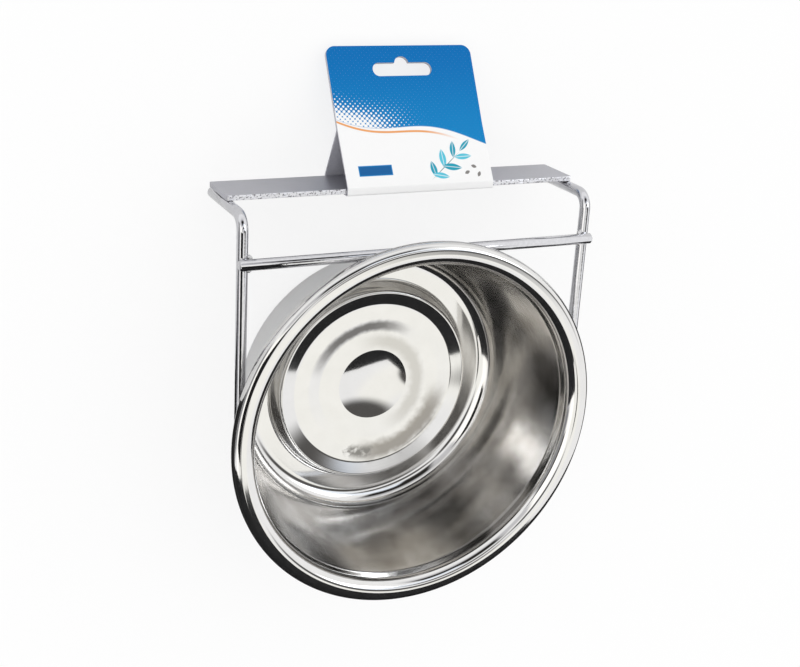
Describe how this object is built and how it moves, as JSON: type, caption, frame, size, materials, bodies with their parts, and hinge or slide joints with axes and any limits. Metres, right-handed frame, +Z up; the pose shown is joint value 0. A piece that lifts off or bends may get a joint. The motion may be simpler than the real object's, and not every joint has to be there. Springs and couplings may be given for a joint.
{
  "type": "seed cup",
  "caption": "Small round steel feeding cup with a rolled rim, resting in a wire hanger that hooks over cage wire, with a folded shop card on the hook.",
  "frame": {"origin": "on the hook, mid width: the inner face of the hook plate, level with the underside of the legs", "axes": "+X across the hanger, +Y out of the cage through the hook plate, +Z up, out of the cup's mouth"},
  "size_m": [0.08, 0.1138, 0.0296],
  "materials": {
    "polished_steel": "polished",
    "chromed_wire": "polished",
    "plated_strip": "satin",
    "chromed_weld": "satin",
    "printed_card": "satin"
  },
  "bodies": {
    "hanger": {"hanger_wire": "chromed_wire", "cross_bar": "chromed_wire", "hook_plate": "plated_strip", "bar_welds": "chromed_weld", "plate_welds": "chromed_weld"},
    "cup": {"cup": "polished_steel"},
    "card": {"header_card": "printed_card"}
  },
  "joints": [
    {"name": "cup_lift", "type": "slide", "parent": "hanger", "child": "cup", "axis": [0, 0, 1], "range_m": [0, 0.035]},
    {"name": "card_slide", "type": "slide", "parent": "hanger", "child": "card", "axis": [1, 0, 0], "range_m": [-0.022, 0.0165]}
  ]
}
